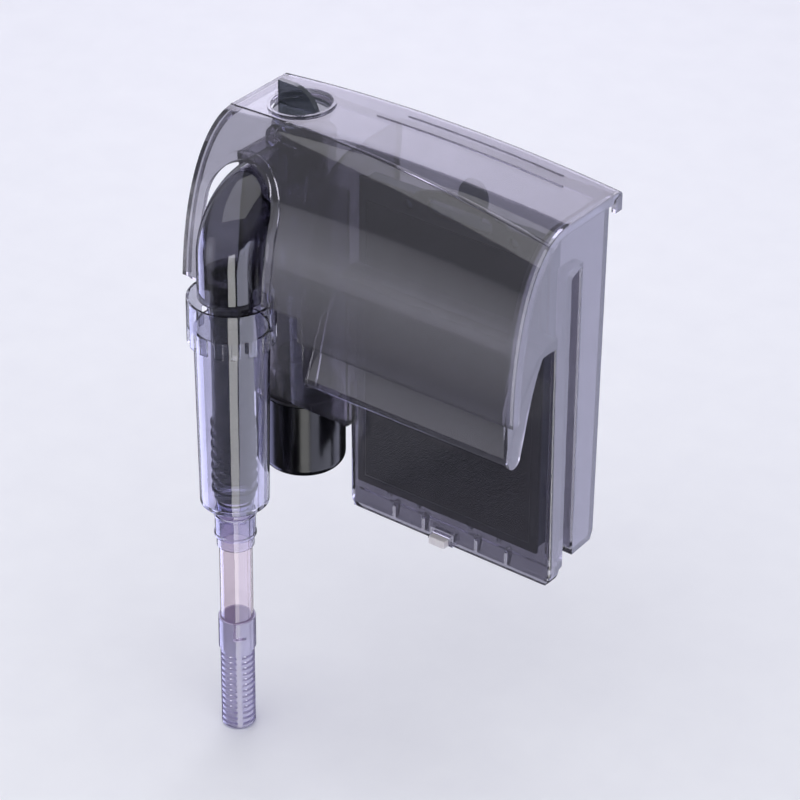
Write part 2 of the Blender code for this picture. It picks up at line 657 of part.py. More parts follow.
def make_strainer(plastic):
    """Collar that slips over the extension tube, and a closed tube with thirteen rows of slots."""
    bore, shell, inside, floor = EXTENSION_R + GAP, 0.0097, 0.0083, STRAINER_END + 0.0014
    profile = [
        (NECK_R, COLLAR_END), (NECK_R, COLLAR_TOP), (bore, COLLAR_TOP), (bore, -0.2324),
        (inside, -0.2326), (inside, floor), (0, floor), (0, STRAINER_END),
        (shell - 0.001, STRAINER_END), (shell, STRAINER_END + 0.001), (shell, COLLAR_END - 0.0006),
    ]
    strainer = add_object("strainer", turned(profile, SKIMMER, 16), plastic, origin=SKIMMER)

    # Four slots to a row, so that a post stands at each corner between them
    half, past = 0.0056, 0.012
    plus = [
        (half, half), (past, half), (past, -half), (half, -half), (half, -past), (-half, -past),
        (-half, -half), (-past, -half), (-past, half), (-half, half), (-half, past), (half, past),
    ]
    plus = [(SKIMMER.x + x, SKIMMER.y + y) for x, y in plus]
    rows, pitch, height = 13, 0.0038, 0.0018
    levels = [STRAINER_END + 0.0026 + row * pitch for row in range(rows)]
    boolean(strainer, cutter("slots", join(*(prism(plus, low, low + height, "Z") for low in levels))))


def main():
    for old in list(bpy.data.objects):
        bpy.data.objects.remove(old)
    smoke = material("smoky clear plastic", (0.22, 0.21, 0.27), 0.12)
    clear = material("clear lilac plastic", (0.62, 0.60, 0.74), 0.10)
    pale = material("clear pinkish plastic", (0.80, 0.74, 0.80), 0.10)
    black = material("gloss black plastic", (0.012, 0.012, 0.016), 0.15)
    grid = material("black moulded grid", (0.03, 0.03, 0.033), 0.5)
    woven = material("black woven mat", (0.035, 0.035, 0.038), 0.8)
    blue = material("blue grey plastic", (0.20, 0.23, 0.36), 0.3)
    carbon = material("activated carbon", (0.01, 0.01, 0.01), 0.9)
    floss = material("white floss", (0.75, 0.76, 0.78), 0.95)
    rubber = material("black rubber", (0.03, 0.03, 0.03), 0.7)
    pad = material("pale rubber", (0.75, 0.73, 0.74), 0.6)
    ceramic = material("white ceramic", (0.85, 0.84, 0.80), 0.3)
    magnet = material("ferrite magnet", (0.06, 0.06, 0.065), 0.5, 0.3)
    iron = material("laminated steel", (0.35, 0.35, 0.36), 0.45, 1.0)
    copper = material("enamelled copper", (0.55, 0.20, 0.07), 0.35, 1.0)

    make_filter_body(smoke)
    make_dust_cover(smoke)
    make_u_pipe(smoke)
    make_flow_gate(smoke)
    make_flow_knob(smoke)
    make_biogrid(grid, woven)
    make_cartridge(blue, carbon, floss)
    make_level_adjuster(pad)
    make_pump_housing(black)
    make_cord_gland(rubber)
    make_well_plate(black)
    make_impeller_cover(smoke)
    make_impeller(black)
    make_rotor_and_bearings(magnet, ceramic, rubber)
    make_stator(iron, copper)
    make_seals(rubber)
    make_riser_pipe(smoke)
    make_skimmer_tube(clear)
    make_neck_ring(clear)
    make_crown(clear)
    make_extension_tube(pale)
    make_strainer(clear)


main()
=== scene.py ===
"""Hang on back aquarium filter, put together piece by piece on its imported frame.

Metres, +Z up, +X to the right seen from the tank, +Y away from the tank.
"""

import math

import bpy
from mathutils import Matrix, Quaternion, Vector


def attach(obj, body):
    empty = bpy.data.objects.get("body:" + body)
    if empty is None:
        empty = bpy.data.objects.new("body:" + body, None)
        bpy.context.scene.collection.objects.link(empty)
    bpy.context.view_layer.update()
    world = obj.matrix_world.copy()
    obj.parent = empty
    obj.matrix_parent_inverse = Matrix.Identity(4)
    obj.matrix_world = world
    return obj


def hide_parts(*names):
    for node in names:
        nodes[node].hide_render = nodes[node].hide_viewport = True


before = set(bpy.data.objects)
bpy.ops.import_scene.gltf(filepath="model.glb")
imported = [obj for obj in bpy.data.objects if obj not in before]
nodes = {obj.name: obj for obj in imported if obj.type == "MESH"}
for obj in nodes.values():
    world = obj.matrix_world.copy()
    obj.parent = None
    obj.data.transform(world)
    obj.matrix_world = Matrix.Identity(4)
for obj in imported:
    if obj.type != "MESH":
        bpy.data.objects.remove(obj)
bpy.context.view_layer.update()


# ---------------------------------------------------------------- filter body
# The media box, the spill ramp with its side plates and the pump chamber, injection moulded in one
# piece of smoky clear SAN. The filter rests on the tank's glass by the flat behind the ramp.

MM = 0.001
FACET_ANGLE = math.radians(32)
PLASTIC_IOR, SCUFF, RIPPLE = 1.5, 0.9, 0.15

scene = bpy.context.scene


def linear(hex_colour):
    """An sRGB hex colour as the linear values that Blender's sockets take."""
    values = [int(hex_colour[i : i + 2], 16) / 255 for i in (1, 3, 5)]
    return (*(v / 12.92 if v <= 0.04045 else ((v + 0.055) / 1.055) ** 2.4 for v in values), 1.0)


def node(tree, kind, sockets=None, **settings):
    """Adds a node with its settings; a socket is given a number or colour, or another node's output."""
    made = tree.nodes.new("ShaderNode" + kind)
    for name, value in settings.items():
        setattr(made, name, value)
    for name, value in (sockets or {}).items():
        if isinstance(value, bpy.types.NodeSocket):
            tree.links.new(value, made.inputs[name])
        else:
            made.inputs[name].default_value = value
    return made


def new_material(name):
    """An empty material, its node tree, its output and the place on the piece that patterns read."""
    made = bpy.data.materials.new(name)
    made.use_nodes = True
    made.node_tree.nodes.clear()
    tree = made.node_tree
    return made, tree, node(tree, "OutputMaterial"), node(tree, "TexCoord").outputs["Object"]


def clear_plastic(name, tint, thin_tint, polish, scuffed, haze=0.0, flow=12.0):
    """Moulded clear plastic. It bends and tints what is behind it, and lamps shine through it.

    Slow flow marks from the mould ripple the surface and thin the tint, scuffs dull the polish in
    places, and haze is the share of the light that the pigment scatters. Real scuffs are hairlines,
    too fine to show, so they are drawn as patches about a millimetre wide.
    """
    made, tree, output, place = new_material(name)
    marks = node(tree, "TexNoise", {"Vector": place, "Scale": 1 / (flow * MM), "Detail": 1.0})
    scuffs = node(tree, "TexNoise", {"Vector": place, "Scale": 1 / (SCUFF * MM), "Detail": 3.0})
    dull = node(tree, "MapRange", {
        "Value": scuffs.outputs["Fac"], "From Min": 0.45, "From Max": 0.75,
        "To Min": polish, "To Max": scuffed,
    })
    ripple = node(tree, "Bump", {
        "Height": marks.outputs["Fac"], "Strength": 0.1, "Distance": RIPPLE * MM,
    })
    density = node(tree, "MixRGB", {
        "Fac": marks.outputs["Fac"], "Color1": linear(tint), "Color2": linear(thin_tint),
    })
    plastic = node(tree, "BsdfPrincipled", {
        "Base Color": density.outputs["Color"], "Roughness": dull.outputs["Result"],
        "IOR": PLASTIC_IOR, "Transmission Weight": 1.0 - haze, "Normal": ripple.outputs["Normal"],
    })
    lamplight = node(tree, "BsdfTransparent", {"Color": linear(thin_tint)})
    shadow = node(tree, "LightPath").outputs["Is Shadow Ray"]
    both = node(tree, "MixShader", {0: shadow, 1: plastic.outputs[0], 2: lamplight.outputs[0]})
    tree.links.new(both.outputs[0], output.inputs["Surface"])
    return made


def only(obj):
    """Deselects everything, then selects this piece and makes it active."""
    if bpy.context.mode != "OBJECT":
        bpy.ops.object.mode_set(mode="OBJECT")
    bpy.ops.object.select_all(action="DESELECT")
    obj.select_set(True)
    bpy.context.view_layer.objects.active = obj


def apply(obj, kind, **settings):
    """Adds a modifier with its settings and applies it at once."""
    only(obj)
    modifier = obj.modifiers.new(kind.title(), kind)
    for name, value in settings.items():
        setattr(modifier, name, value)
    bpy.ops.object.modifier_apply(modifier=modifier.name)


def soften(obj, width, segments=2, angle=30):
    """Rounds every edge sharper than the angle, as a mould's edges are."""
    apply(obj, "BEVEL", width=width * MM, segments=segments, limit_method="ANGLE",
          angle_limit=math.radians(angle), miter_outer="MITER_ARC", use_clamp_overlap=True)


def hand_in(obj, finish, body, slot, *replaced):
    """Smooths the piece, gives it its finish and lets it ride on its body."""
    obj.data.materials.clear()
    obj.data.materials.append(finish)
    only(obj)
    bpy.ops.object.shade_smooth_by_angle(angle=FACET_ANGLE)
    apply(obj, "WEIGHTED_NORMAL", keep_sharp=True, weight=80)
    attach(obj, body)
    if replaced:
        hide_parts(*replaced)
    obj.select_set(False)


def taken_from(node_name, name):
    """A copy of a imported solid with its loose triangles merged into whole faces."""
    source = nodes[node_name]
    made = bpy.data.objects.new(name, source.data.copy())
    scene.collection.objects.link(made)
    only(made)
    bpy.ops.object.mode_set(mode="EDIT")
    bpy.ops.mesh.select_all(action="SELECT")
    bpy.ops.mesh.remove_doubles(threshold=0.004 * MM)
    bpy.ops.mesh.dissolve_limited(angle_limit=math.radians(0.6))
    bpy.ops.object.mode_set(mode="OBJECT")
    return made


# SAN with a smoke dye, out of a polished mould: one wall looks pale lavender, walls in a row go nearly
# black, and the surface mirrors the lamps as cleanly as glass.
smoky = clear_plastic("smoky SAN, moulded clear", "#a3a1ac", "#afadb8", 0.03, 0.10, haze=0.045)

BOX_LEFT, BOX_RIGHT, BOX_FRONT, BOX_FLOOR, CORNER_R, EDGE_R = -31.0, 104.0, 6.0, -151.0, 7.0, 2.4
RIB_HALF, RIB_FRONT, RIB_BACK, RIB_LOW, RIB_HIGH = 1.1, 8.2, 13.0, BOX_FLOOR + 1.5, -138.0
FLOOR_RIBS = (-1.4, 18.7, 54.3, 74.4)


def near(value, *wanted):
    """True where a length in metres is one of these, in mm."""
    return any(abs(value / MM - one) < 0.05 for one in wanted)


def round_edges(obj, chosen, radius, segments=4):
    """Rounds the edges whose two ends both pass the test."""
    only(obj)
    for part in (*obj.data.polygons, *obj.data.edges):
        part.select = False
    for vertex in obj.data.vertices:
        vertex.select = chosen(vertex.co)
    bpy.ops.object.mode_set(mode="EDIT")
    bpy.ops.mesh.select_mode(type="EDGE")
    bpy.ops.mesh.bevel(offset=radius * MM, segments=segments, affect="EDGES")
    bpy.ops.mesh.select_mode(type="VERT")
    bpy.ops.object.mode_set(mode="OBJECT")


def cut(obj, tool, operation="DIFFERENCE"):
    """Cuts with, or adds, a helper solid that is then thrown away."""
    apply(obj, "BOOLEAN", object=tool, operation=operation, solver="EXACT")
    bpy.data.objects.remove(tool)


def slab(low, high):
    """A box between two corners, in mm."""
    low, high = Vector(low), Vector(high)
    bpy.ops.object.select_all(action="DESELECT")
    bpy.ops.mesh.primitive_cube_add(size=1, location=(low + high) / 2 * MM, scale=(high - low) * MM)
    made = bpy.context.object
    bpy.ops.object.transform_apply(location=True, scale=True)
    return made


def rod(radius, low, high, x, y, sides=96):
    """An upright round bar between two heights, in mm."""
    bpy.ops.object.select_all(action="DESELECT")
    bpy.ops.mesh.primitive_cylinder_add(
        vertices=sides, radius=radius * MM, depth=(high - low) * MM,
        location=(x * MM, y * MM, (low + high) / 2 * MM),
    )
    made = bpy.context.object
    bpy.ops.object.transform_apply(location=True)
    return made


def placed(tool, x, y, z=0.0, tip=0.0, turn=0.0):
    """Takes a tool made at the origin to a place in mm, tipped about X or turned about Z by degrees."""
    tool.rotation_euler = (math.radians(tip), 0, math.radians(turn))
    tool.location = (x * MM, y * MM, z * MM)
    only(tool)
    bpy.ops.object.transform_apply(location=True, rotation=True)
    return tool


def on_front_outline(p):
    """True on the box's two upright front edges and on the round corners below them."""
    side = near(p.x, BOX_LEFT, BOX_RIGHT)
    low = p.z < (BOX_FLOOR + CORNER_R + 0.1) * MM
    outside = not (BOX_LEFT + CORNER_R) * MM < p.x < (BOX_RIGHT - CORNER_R) * MM
    return near(p.y, BOX_FRONT) and p.z < 0.5 * MM and (side or low and outside)


body = taken_from("filter_body", "body_moulding")
for side, x in ((1, BOX_LEFT), (-1, BOX_RIGHT)):
    ends = sorted((x - side, x + side * CORNER_R))
    corner = slab((ends[0], 0, BOX_FLOOR - 1), (ends[1], 60, BOX_FLOOR + CORNER_R))
    cut(corner, placed(rod(CORNER_R, -5, 70, 0, 0), x + side * CORNER_R, 0, BOX_FLOOR + CORNER_R, tip=-90))
    cut(body, corner)
for x in FLOOR_RIBS:
    cut(body, slab((x - RIB_HALF, RIB_FRONT, RIB_LOW), (x + RIB_HALF, RIB_BACK, RIB_HIGH)), "UNION")
round_edges(body, on_front_outline, EDGE_R)
soften(body, 0.5)
hand_in(body, smoky, "filter_body", "smoky_plastic", "filter_body")


# ---------------------------------------------------------------- dust cover
# A bent sheet of the same smoky SAN with thick rims at its open ends, an arch for the U-pipe and a
# round hole for the flow knob. It lifts straight off the body.

COVER_HALF, COVER_SHEET, COVER_RIM, RIM_WIDE = 110.0, 2.2, 6.0, 2.5
COVER_LOW, COVER_HIGH, COVER_BACK, BACK_EDGE, CROWN = -24.5, 75.5, 53.0, 64.0, 5.5
ARC_CENTRE, ARC_DEPTH, ARC_POWER = 6.0, 46.0, 2.2
PUMP_X, PUMP_Y = -77.0, 23.0
SKIM_X, SKIM_Y = -77.0, -38.7
ARCH_R, ARCH_Z, ARCH_LOW, ARCH_BAND, BAND_THICK = 22.2, 38.8, -60.0, 5.0, 1.8
CREASE_LEFT, CREASE_RIGHT, BEAD_WIDE, BEAD_HIGH = 4.0, -11.0, 1.0, 0.45
BACK_ROUND, FRONT_ROWS, TOP_ROWS = 3.0, 44, 20
HOLE_R, RING_WIDE, RING_THICK = 17.0, 1.8, 3.6
LINE_WIDE, LINE_THICK = 0.9, 1.2
TOP_LINES = ((-34, 86, 33.0), (-20, 80, 42.0))  # left end, right end, front edge
LEFT_FRONT_LOW = -10.0
TOOL_LOW, TOOL_HIGH = 60, 100


def arc(across, up, radius, start, end, steps):
    """Points of an arc about a centre, from one angle in degrees to another."""
    turns = [math.radians(start + (end - start) * k / steps) for k in range(steps + 1)]
    return [(across + radius * math.cos(turn), up + radius * math.sin(turn)) for turn in turns]


def outline_in_plane(name, points):
    """Starts from a small plane merged to one point, and extrudes it from point to point, in mm."""
    bpy.ops.object.select_all(action="DESELECT")
    bpy.ops.mesh.primitive_plane_add(size=MM, location=Vector(points[0]) * MM)
    made = bpy.context.object
    made.name = made.data.name = name
    bpy.ops.object.transform_apply(location=True)
    bpy.ops.object.mode_set(mode="EDIT")
    bpy.ops.mesh.select_all(action="SELECT")
    bpy.ops.mesh.merge(type="CENTER")
    for before, after in zip(points, points[1:]):
        step = (Vector(after) - Vector(before)) * MM
        bpy.ops.mesh.extrude_region_move(TRANSFORM_OT_translate={"value": step})
    return made


def cover_height(y):
    """Height of the cover's outside at its ends, where it has no crown."""
    depth = max(ARC_CENTRE - y, 0) / ARC_DEPTH
    return COVER_LOW + (COVER_HIGH - COVER_LOW) * (1 - depth ** ARC_POWER) ** (1 / ARC_POWER)


def cover_line(x):
    """Outside points at one X, from the front edge up to the crease, over the top and round the back.

    The crease is a bead that crosses the cover slantwise, where the arched front meets the top.
    """
    crease = CREASE_LEFT + (CREASE_RIGHT - CREASE_LEFT) * (x + COVER_HALF) / (2 * COVER_HALF)
    before = crease - BEAD_WIDE
    start = math.asin((cover_height(before) - COVER_LOW) / (COVER_HIGH - COVER_LOW))
    ys = []
    for k in range(FRONT_ROWS + 1):
        rise = math.sin(start * k / FRONT_ROWS)
        ys.append(ARC_CENTRE - ARC_DEPTH * (1 - rise ** ARC_POWER) ** (1 / ARC_POWER))
    line = [(ys[0], COVER_LOW)] + [(y, cover_height(y)) for y in ys[1:]]
    slope = cover_height(crease + 0.5) - cover_height(crease - 0.5)
    out_y, out_z = -slope / math.hypot(1, slope), 1 / math.hypot(1, slope)
    for side in (-0.4, 0.4):
        y = crease + side * BEAD_WIDE
        line.append((y + out_y * BEAD_HIGH, cover_height(y) + out_z * BEAD_HIGH))
    first, last = crease + BEAD_WIDE, COVER_BACK - BACK_ROUND
    top = [first + (last - first) * k / TOP_ROWS for k in range(TOP_ROWS + 1)]
    line += [(y, cover_height(y)) for y in top]
    line += arc(last, COVER_HIGH - BACK_ROUND, BACK_ROUND, 90, 0, 4)[1:]
    line += [(COVER_BACK, (BACK_EDGE + COVER_HIGH - BACK_ROUND) / 2), (COVER_BACK, BACK_EDGE)]
    share = 1 - (x / COVER_HALF) ** 2
    height = COVER_HIGH - COVER_LOW
    return [(x, y, z + CROWN * share * max((z - COVER_LOW) / height, 0) ** 4) for y, z in line]


def cover_sheet(name, columns):
    """A grid laid over the cover's outside, one column of points for each X."""
    lines = [cover_line(x) for x in columns]
    across, along = len(columns) - 1, len(lines[0]) - 1
    bpy.ops.object.select_all(action="DESELECT")
    bpy.ops.mesh.primitive_grid_add(x_subdivisions=across, y_subdivisions=along, size=1)
    sheet = bpy.context.object
    sheet.name = sheet.data.name = name
    for vertex in sheet.data.vertices:
        column, row = round((vertex.co.x + 0.5) * across), round((vertex.co.y + 0.5) * along)
        vertex.co = Vector(lines[column][row]) * MM
    return sheet


def extruded(name, outline, front, back):
    """A solid with this outline of (x, z) points, in mm, from front to back along Y."""
    made = outline_in_plane(name, [(x, front, z) for x, z in [*outline, outline[0]]])
    bpy.ops.mesh.select_all(action="SELECT")
    bpy.ops.mesh.remove_doubles(threshold=0.01 * MM)
    bpy.ops.mesh.edge_face_add()
    bpy.ops.mesh.extrude_region_move(TRANSFORM_OT_translate={"value": (0, (back - front) * MM, 0)})
    bpy.ops.mesh.select_all(action="SELECT")
    bpy.ops.mesh.normals_make_consistent(inside=False)
    bpy.ops.object.mode_set(mode="OBJECT")
    return made


def arch_solid(radius, front, back):
    """The arch over the U-pipe: half round above, open below."""
    feet = [(SKIM_X - radius, ARCH_LOW), (SKIM_X + radius, ARCH_LOW)]
    return extruded("arch", feet + arc(SKIM_X, ARCH_Z, radius, 0, 180, 48), front, back)


thin = COVER_HALF - RIM_WIDE - 0.4
columns = [-COVER_HALF, -COVER_HALF + RIM_WIDE] + [thin * (k / 16 - 1) for k in range(33)]
columns += [COVER_HALF - RIM_WIDE, COVER_HALF]
cover = cover_sheet("cover_sheet", columns)
rim = cover.vertex_groups.new(name="rim")
for vertex in cover.data.vertices:
    deep = abs(vertex.co.x) > (COVER_HALF - RIM_WIDE - 0.1) * MM
    rim.add([vertex.index], 1.0 if deep else COVER_SHEET / COVER_RIM, "REPLACE")
apply(cover, "SOLIDIFY", thickness=COVER_RIM * MM, offset=-1.0, vertex_group="rim", use_even_offset=True)
band = cover_sheet("arch_band", [SKIM_X + 32 * (k / 12 - 1) for k in range(25)])
apply(band, "SOLIDIFY", thickness=BAND_THICK * MM, offset=0.0, use_even_offset=True)
cut(band, arch_solid(ARCH_R + ARCH_BAND, -60, -14), "INTERSECT")
cut(cover, band, "UNION")
ring = cover_sheet("hole_ring", [PUMP_X + 22 * (k / 10 - 1) for k in range(21)])
apply(ring, "SOLIDIFY", thickness=RING_THICK * MM, offset=-0.4, use_even_offset=True)
cut(ring, rod(HOLE_R + RING_WIDE, TOOL_LOW, TOOL_HIGH, PUMP_X, PUMP_Y), "INTERSECT")
cut(cover, ring, "UNION")
for left, right, y in TOP_LINES:
    line = cover_sheet("top_line", [left - 5 + (right - left + 10) * k / 20 for k in range(21)])
    apply(line, "SOLIDIFY", thickness=LINE_THICK * MM, offset=0.0, use_even_offset=True)
    cut(line, slab((left, y, TOOL_LOW), (right, y + LINE_WIDE, TOOL_HIGH)), "INTERSECT")
    cut(cover, line, "UNION")
cut(cover, slab((-130, -80, -60), (BOX_LEFT, 30, LEFT_FRONT_LOW)))
cut(cover, arch_solid(ARCH_R, -60, -4))
cut(cover, rod(HOLE_R, TOOL_LOW, TOOL_HIGH, PUMP_X, PUMP_Y))
soften(cover, 0.35)
hand_in(cover, smoky, "cover", "smoky_plastic", "dust_cover")


# ---------------------------------------------------------------- U-pipe
# Rises from the skimmer, turns over the tank's rim and drops into the pump chamber. Thick smoky SAN
# tube, bent while hot and solvent welded to the wider down-leg.

PIPE_R, PIPE_BORE, PIPE_MOUTH, ELBOW_R, ELBOW_STEPS, BRIDGE_Z = 18.5, 16.5, -11.5, 28.0, 20, 40.0
LEG_R, LEG_BORE, LEG_TOP, LEG_LOW = 16.5, 14.5, 60.0, -78.0
HEAD_R, HEAD_LOW, HEAD_TAPER = PIPE_R + 0.7, 23.5, 2.0


def close_up():
    """Turns a spun shape's faces outwards and ends its editing.

    Spin makes its faces in an order that changes from run to run, so they are put in a fixed one.
    """
    bpy.ops.mesh.normals_make_consistent(inside=False)
    bpy.ops.mesh.sort_elements(type="CURSOR_DISTANCE", elements={"FACE"})
    bpy.ops.object.mode_set(mode="OBJECT")


def bent_rod(name, radius, mouth, end_y):
    """A disc drawn up the skimmer's axis, spun round the elbow and drawn on along the bridge."""
    bpy.ops.object.select_all(action="DESELECT")
    bpy.ops.mesh.primitive_circle_add(
        vertices=72, radius=radius * MM, fill_type="NGON",
        location=(SKIM_X * MM, SKIM_Y * MM, mouth * MM),
    )
    made = bpy.context.object
    made.name = made.data.name = name
    bpy.ops.object.transform_apply(location=True)
    start = BRIDGE_Z - ELBOW_R
    bpy.ops.object.mode_set(mode="EDIT")
    bpy.ops.mesh.select_all(action="SELECT")
    bpy.ops.mesh.extrude_region_move(TRANSFORM_OT_translate={"value": (0, 0, (start - mouth) * MM)})
    elbow_y = SKIM_Y + ELBOW_R
    pivot = (SKIM_X * MM, elbow_y * MM, start * MM)
    bpy.ops.mesh.spin(steps=ELBOW_STEPS, angle=math.pi / 2, center=pivot, axis=(1, 0, 0))
    bpy.ops.mesh.extrude_region_move(TRANSFORM_OT_translate={"value": (0, (end_y - elbow_y) * MM, 0)})
    bpy.ops.mesh.select_all(action="SELECT")
    bpy.ops.mesh.remove_doubles(threshold=0.01 * MM)
    close_up()
    return made


def turned(name, outline, x, y, steps=96):
    """Spins a closed outline of (radius, height) points, in mm, once round the upright axis at x, y."""
    made = outline_in_plane(name, [(x + r, y, z) for r, z in [*outline, outline[0]]])
    bpy.ops.mesh.select_all(action="SELECT")
    bpy.ops.mesh.spin(steps=steps, angle=math.tau, center=(x * MM, y * MM, 0), axis=(0, 0, 1))
    bpy.ops.mesh.select_all(action="SELECT")
    bpy.ops.mesh.remove_doubles(threshold=0.005 * MM)
    close_up()
    return made


pipe = bent_rod("u_pipe", PIPE_R, PIPE_MOUTH, PUMP_Y)
leg_outline = [
    (0, LEG_LOW), (LEG_R, LEG_LOW), (LEG_R, HEAD_LOW - HEAD_TAPER),
    (HEAD_R, HEAD_LOW), (HEAD_R, LEG_TOP), (0, LEG_TOP),
]
cut(pipe, turned("leg", leg_outline, PUMP_X, PUMP_Y), "UNION")
cut(pipe, bent_rod("bore", PIPE_BORE, PIPE_MOUTH - 5, PUMP_Y))
cut(pipe, rod(LEG_BORE, -95, 95, PUMP_X, PUMP_Y, 72))
soften(pipe, 0.3)
# The same SAN with more dye, drawn and flame polished: a dark, watery tube with crisp bright streaks.
pipe_smoke = clear_plastic("smoky SAN, dark tube", "#8f8e99", "#9a99a4", 0.02, 0.05, flow=14.0)
hand_in(pipe, pipe_smoke, "filter_body", "smoky_plastic", "inlet_u_pipe")


# ---------------------------------------------------------------- flow control
# A knob with a rounded fin for two fingers stands in the cover's hole. Its column carries a half-round
# gate that turns across the port in the U-pipe.

gate = taken_from("flow_gate", "gate_column")
soften(gate, 0.25)
# SAN with a blue grey pigment that scatters: it reads as a dull slate body inside the clear parts.
gate_smoke = clear_plastic("smoky SAN, blue grey column", "#5d626b", "#6d727c", 0.06, 0.14, haze=0.3)
hand_in(gate, gate_smoke, "flow_control", "smoky_plastic", "flow_gate")

KNOB_R, KNOB_LOW, KNOB_HIGH = 15.8, 70.3, 75.0
FIN_LEFT, FIN_FOOT, FIN_TOP, FIN_FLAT, FIN_R, FIN_HALF = PUMP_X - 15.0, 73.0, 88.5, 9.5, 17.0, 1.6
disc = [(0, KNOB_LOW), (KNOB_R, KNOB_LOW), (KNOB_R, KNOB_HIGH), (0, KNOB_HIGH)]
knob = turned("knob_and_fin", disc, PUMP_X, PUMP_Y)
fin = [(FIN_LEFT, FIN_FOOT), (FIN_LEFT, FIN_TOP)]
fin += arc(FIN_LEFT + FIN_FLAT, FIN_TOP - FIN_R, FIN_R, 90, 12, 16)
fin.append((FIN_LEFT + FIN_FLAT + FIN_R, FIN_FOOT))
cut(knob, extruded("fin", fin, PUMP_Y - FIN_HALF, PUMP_Y + FIN_HALF), "UNION")
soften(knob, 0.5)
hand_in(knob, gate_smoke, "flow_control", "smoky_plastic", "flow_knob")


# ---------------------------------------------------------------- biogrid
# The front panel in the media box: a moulded polypropylene frame with an arched handle, and a black
# mat woven of stiff thread that bacteria settle on.

grid = taken_from("biogrid_frame", "biogrid_panel")
soften(grid, 0.3)


def opaque(name, colour, shade, roughness, rough_far, grain, height,
           shine=0.5, metallic=0.0, kind="TexNoise"):
    """Solid finish: two close colours and two roughnesses, mixed by a grain that also stands proud.

    The grain's size and height are in mm.
    """
    made, tree, output, place = new_material(name)
    pattern = node(tree, kind, {"Vector": place, "Scale": 1 / (grain * MM)})
    value = pattern.outputs["Fac" if kind == "TexNoise" else "Distance"]
    tone = node(tree, "MixRGB", {"Fac": value, "Color1": linear(colour), "Color2": linear(shade)})
    dull = node(tree, "MapRange", {
        "Value": value, "From Min": 0.3, "From Max": 0.7, "To Min": roughness, "To Max": rough_far,
    })
    relief = node(tree, "Bump", {"Height": value, "Strength": 0.6, "Distance": height * MM})
    skin = node(tree, "BsdfPrincipled", {
        "Base Color": tone.outputs["Color"], "Roughness": dull.outputs["Result"],
        "Metallic": metallic, "Specular IOR Level": shine, "Normal": relief.outputs["Normal"],
    })
    tree.links.new(skin.outputs[0], output.inputs["Surface"])
    return made


def paint(node_name, finish):
    """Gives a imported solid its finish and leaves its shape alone."""
    nodes[node_name].data.materials.clear()
    nodes[node_name].data.materials.append(finish)


# Polypropylene with carbon black, out of a lightly etched mould: near black with a broad satin sheen.
polypropylene = opaque("black polypropylene, moulded", "#1b1b1f", "#24242a", 0.35, 0.5, 0.5, 0.03)
hand_in(grid, polypropylene, "biogrid", "black_grid", "biogrid_frame")


WEAVE_PITCH, WEAVE_PROUD, WEAVE_FUZZ = 1.2, 0.08, 2.5


def woven(name, dark, light):
    """Plain weave seen from the front: threads along X and Z pass over and under each other.

    The real threads lie closer than they can show, so they are drawn 1.2 mm apart.
    """
    made, tree, output, place = new_material(name)
    split = node(tree, "SeparateXYZ", {"Vector": place})
    waves = []
    for axis in ("X", "Z"):
        turns = {0: split.outputs[axis], 1: math.pi / (WEAVE_PITCH * MM)}
        along = node(tree, "Math", turns, operation="MULTIPLY")
        waves.append(node(tree, "Math", {0: along.outputs[0]}, operation="SINE").outputs[0])
    over = node(tree, "Math", {0: waves[0], 1: waves[1]}, operation="MULTIPLY").outputs[0]
    thread = node(tree, "Math", {0: over, 1: over}, operation="MULTIPLY").outputs[0]
    fuzz = node(tree, "TexNoise", {"Vector": place, "Scale": 1 / (WEAVE_FUZZ * MM), "Detail": 4.0})
    blend = node(tree, "Math", {0: thread, 1: fuzz.outputs["Fac"]}, operation="MULTIPLY").outputs[0]
    tone = node(tree, "MixRGB", {"Fac": blend, "Color1": linear(dark), "Color2": linear(light)})
    relief = node(tree, "Bump", {"Height": over, "Strength": 0.5, "Distance": WEAVE_PROUD * MM})
    skin = node(tree, "BsdfPrincipled", {
        "Base Color": tone.outputs["Color"], "Roughness": 0.8, "Normal": relief.outputs["Normal"],
    })
    tree.links.new(skin.outputs[0], output.inputs["Surface"])
    return made


# Stiff black polyester thread: charcoal with no shine, and a faint check where threads cross.
paint("biogrid_mesh", woven("black polyester mat, woven", "#0c0c0e", "#34343a"))


# ---------------------------------------------------------------- carbon cartridge
# A blue grey polypropylene tray behind the biogrid with a keyhole tab to pull it by. Granulated
# activated carbon fills it and a pad of polyester floss closes it.

tray = taken_from("cartridge_frame", "cartridge_tray")
soften(tray, 0.3)
# Polypropylene with a blue grey pigment, smooth from the mould: a slate colour with a soft shine.
tray_finish = opaque("blue grey polypropylene, moulded", "#454c63", "#525a74", 0.3, 0.45, 0.8, 0.02)
hand_in(tray, tray_finish, "carbon_cartridge", "blue_grey_plastic", "cartridge_frame")
# Crushed and steam activated coal: black angular granules of about 2 mm that hardly shine.
carbon = opaque(
    "activated carbon, granulated", "#0c0c0d", "#1d1d1f", 0.6, 0.9, 2.0, 0.9, kind="TexVoronoi")
paint("carbon_bed", carbon)
# Carded polyester fibre: soft white and quite matt. The fibres are too fine to show, so its tufts,
# about a millimetre wide, are drawn instead.
paint("floss_pad", opaque("polyester floss, carded", "#d9dadd", "#eceded", 0.9, 1.0, 1.2, 0.5))


# ---------------------------------------------------------------- level adjuster
# A small block of translucent silicone pushed into the pocket in the body's bottom edge. It stands
# off the tank's wall so that the filter hangs upright.

pad = taken_from("level_adjuster", "wall_pad")
soften(pad, 0.6, 3)
# Silicone rubber, moulded with no pigment: milky and pale, with a waxy, blurred shine.
silicone = opaque("silicone rubber, milky", "#e6e2e4", "#d5cfd3", 0.45, 0.6, 1.5, 0.03)
hand_in(pad, silicone, "adjuster", "pale_rubber", "level_adjuster")


